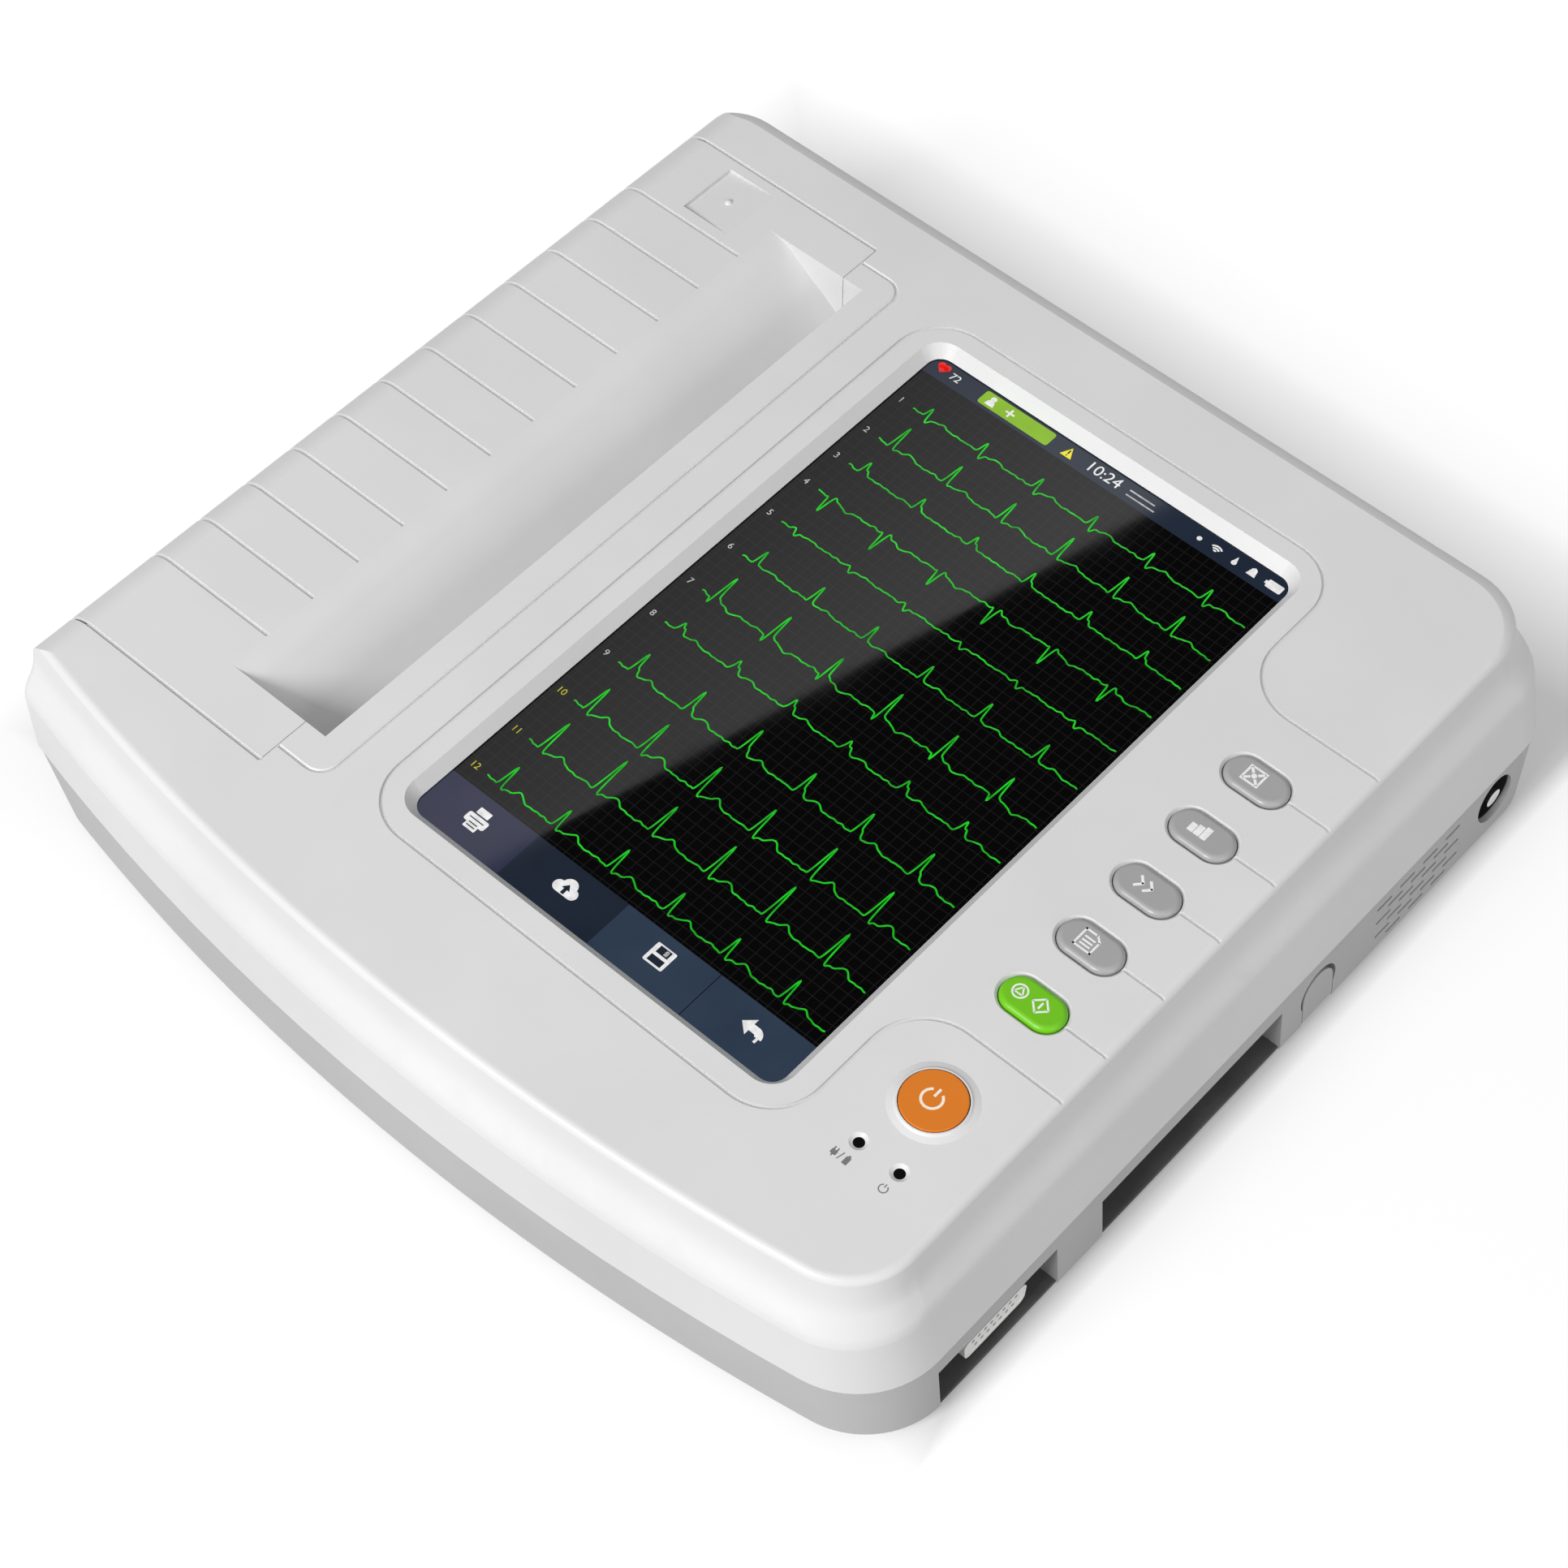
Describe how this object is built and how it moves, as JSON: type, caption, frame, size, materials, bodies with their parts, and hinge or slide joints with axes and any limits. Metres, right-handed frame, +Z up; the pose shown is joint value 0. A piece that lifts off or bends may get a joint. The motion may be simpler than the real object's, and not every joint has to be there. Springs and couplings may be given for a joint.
{
  "type": "ecg machine",
  "caption": "Desktop ECG recorder with a chart printer under a hinged lid, an inset touch display, a column of pill keys, a round power button and side sockets.",
  "frame": {"origin": "on the table under the middle of the case's bounding box", "axes": "+X to the user's right, +Y to the rear, +Z up"},
  "size_m": [0.3217, 0.3164, 0.0708],
  "materials": {
    "light_shell": "fine matt moulded plastic, light grey",
    "grey_shell": "fine matt moulded plastic, mid grey",
    "grey_key": "soft satin key cap, grey",
    "green_key": "satin key cap, green",
    "orange_button": "satin button, orange",
    "clear_lens": "clear lens over an unlit lamp",
    "screen_glass": "polished touch glass",
    "display_black": "display face",
    "steel": "plated steel",
    "motor_steel": "plated sheet steel",
    "heat_sink": "plain aluminium",
    "head_ceramic": "glazed ceramic strip",
    "black_rubber": "matt rubber",
    "gear_plastic": "natural acetal",
    "chart_paper": "thermal chart paper and its card core, with wood's density",
    "board_green": "glass-fibre circuit board",
    "black_plastic": "black moulded plastic",
    "white_plastic": "white moulded connector",
    "brass": "turned brass"
  },
  "bodies": {
    "case": {"base_case": "grey_shell", "battery_door": "grey_shell", "battery_door_screws": "steel", "battery_pack": "black_plastic", "board_shield": "steel", "card_door_pin": "steel", "case_screws": "steel", "display_bracket": "steel", "display_panel": "display_black", "earth_post": "brass", "exit_frame": "light_shell", "feed_motor": "motor_steel", "head_heat_sink": "heat_sink", "head_springs": "steel", "idler_axles": "steel", "indicator_lenses": "clear_lens", "key_board": "board_green", "key_switches": "black_plastic", "lid_hinge_pins": "steel", "main_board": "board_green", "mains_inlet": "black_plastic", "network_socket": "black_plastic", "paper_tray": "black_plastic", "patient_connector": "white_plastic", "power_supply": "motor_steel", "print_head": "head_ceramic", "printer_chassis": "steel", "rubber_feet": "black_rubber", "screen_gasket": "black_rubber", "socket_panel": "grey_shell", "speaker": "black_plastic", "speaker_panel": "grey_shell", "tear_bar": "steel", "top_cover": "light_shell", "touch_glass": "screen_glass", "usb_sockets": "black_plastic"},
    "lid": {"paper_lid": "light_shell", "platen_bushes": "brass"},
    "platen": {"platen_roller": "black_rubber", "platen_shaft": "steel", "platen_gear": "gear_plastic"},
    "near_idler": {"near_idler_gear": "gear_plastic"},
    "far_idler": {"far_idler_gear": "gear_plastic"},
    "motor_rotor": {"motor_pinion": "gear_plastic", "motor_shaft": "steel"},
    "paper_supply": {"paper_roll": "chart_paper", "paper_core": "chart_paper", "roll_spindle": "black_plastic"},
    "lead_key_cap": {"lead_key": "grey_key"},
    "gain_key_cap": {"gain_key": "grey_key"},
    "speed_key_cap": {"speed_key": "grey_key"},
    "report_key_cap": {"report_key": "grey_key"},
    "start_key_cap": {"start_key": "green_key"},
    "power_cap": {"power_button": "orange_button"},
    "side_door": {"card_door": "grey_shell"}
  },
  "joints": [
    {"name": "lid_hinge", "type": "hinge", "parent": "case", "child": "lid", "pos_m": [-0.157, 0.00685, 0.03], "axis": [0, -1, 0], "range_deg": [0, 85]},
    {"name": "platen_spin", "type": "hinge", "parent": "lid", "child": "platen", "pos_m": [-0.0855, 0.00685, 0.034], "axis": [0, 1, 0], "continuous": true},
    {"name": "near_idler_spin", "type": "hinge", "parent": "case", "child": "near_idler", "pos_m": [-0.08461, -0.11215, 0.01802], "axis": [0, 1, 0], "continuous": true},
    {"name": "far_idler_spin", "type": "hinge", "parent": "case", "child": "far_idler", "pos_m": [-0.07066, -0.11215, 0.01925], "axis": [0, 1, 0], "continuous": true},
    {"name": "rotor_spin", "type": "hinge", "parent": "case", "child": "motor_rotor", "pos_m": [-0.05671, -0.11215, 0.02047], "axis": [0, 1, 0], "continuous": true},
    {"name": "paper_spin", "type": "hinge", "parent": "case", "child": "paper_supply", "pos_m": [-0.129, 0.00685, 0.029], "axis": [0, 1, 0], "continuous": true},
    {"name": "lead_key_press", "type": "slide", "parent": "case", "child": "lead_key_cap", "axis": [0, 0, -1], "range_m": [0, 0.0008], "stiffness_N_per_m": 600, "springref_m": -0.0004},
    {"name": "gain_key_press", "type": "slide", "parent": "case", "child": "gain_key_cap", "axis": [0, 0, -1], "range_m": [0, 0.0008], "stiffness_N_per_m": 600, "springref_m": -0.0004},
    {"name": "speed_key_press", "type": "slide", "parent": "case", "child": "speed_key_cap", "axis": [0, 0, -1], "range_m": [0, 0.0008], "stiffness_N_per_m": 600, "springref_m": -0.0004},
    {"name": "report_key_press", "type": "slide", "parent": "case", "child": "report_key_cap", "axis": [0, 0, -1], "range_m": [0, 0.0008], "stiffness_N_per_m": 600, "springref_m": -0.0004},
    {"name": "start_key_press", "type": "slide", "parent": "case", "child": "start_key_cap", "axis": [0, 0, -1], "range_m": [0, 0.0008], "stiffness_N_per_m": 600, "springref_m": -0.0004},
    {"name": "power_press", "type": "slide", "parent": "case", "child": "power_cap", "axis": [0, 0, -1], "range_m": [0, 0.0008], "stiffness_N_per_m": 600, "springref_m": -0.0004},
    {"name": "side_door_hinge", "type": "hinge", "parent": "case", "child": "side_door", "pos_m": [0.1584, 0.0439, 0.004], "axis": [0, 1, 0], "range_deg": [0, 90]}
  ],
  "couplings": [
    {"joint": "near_idler_spin", "follows": "platen_spin", "ratio": -1.6667},
    {"joint": "far_idler_spin", "follows": "platen_spin", "ratio": 1.25},
    {"joint": "rotor_spin", "follows": "platen_spin", "ratio": -1.6667}
  ]
}
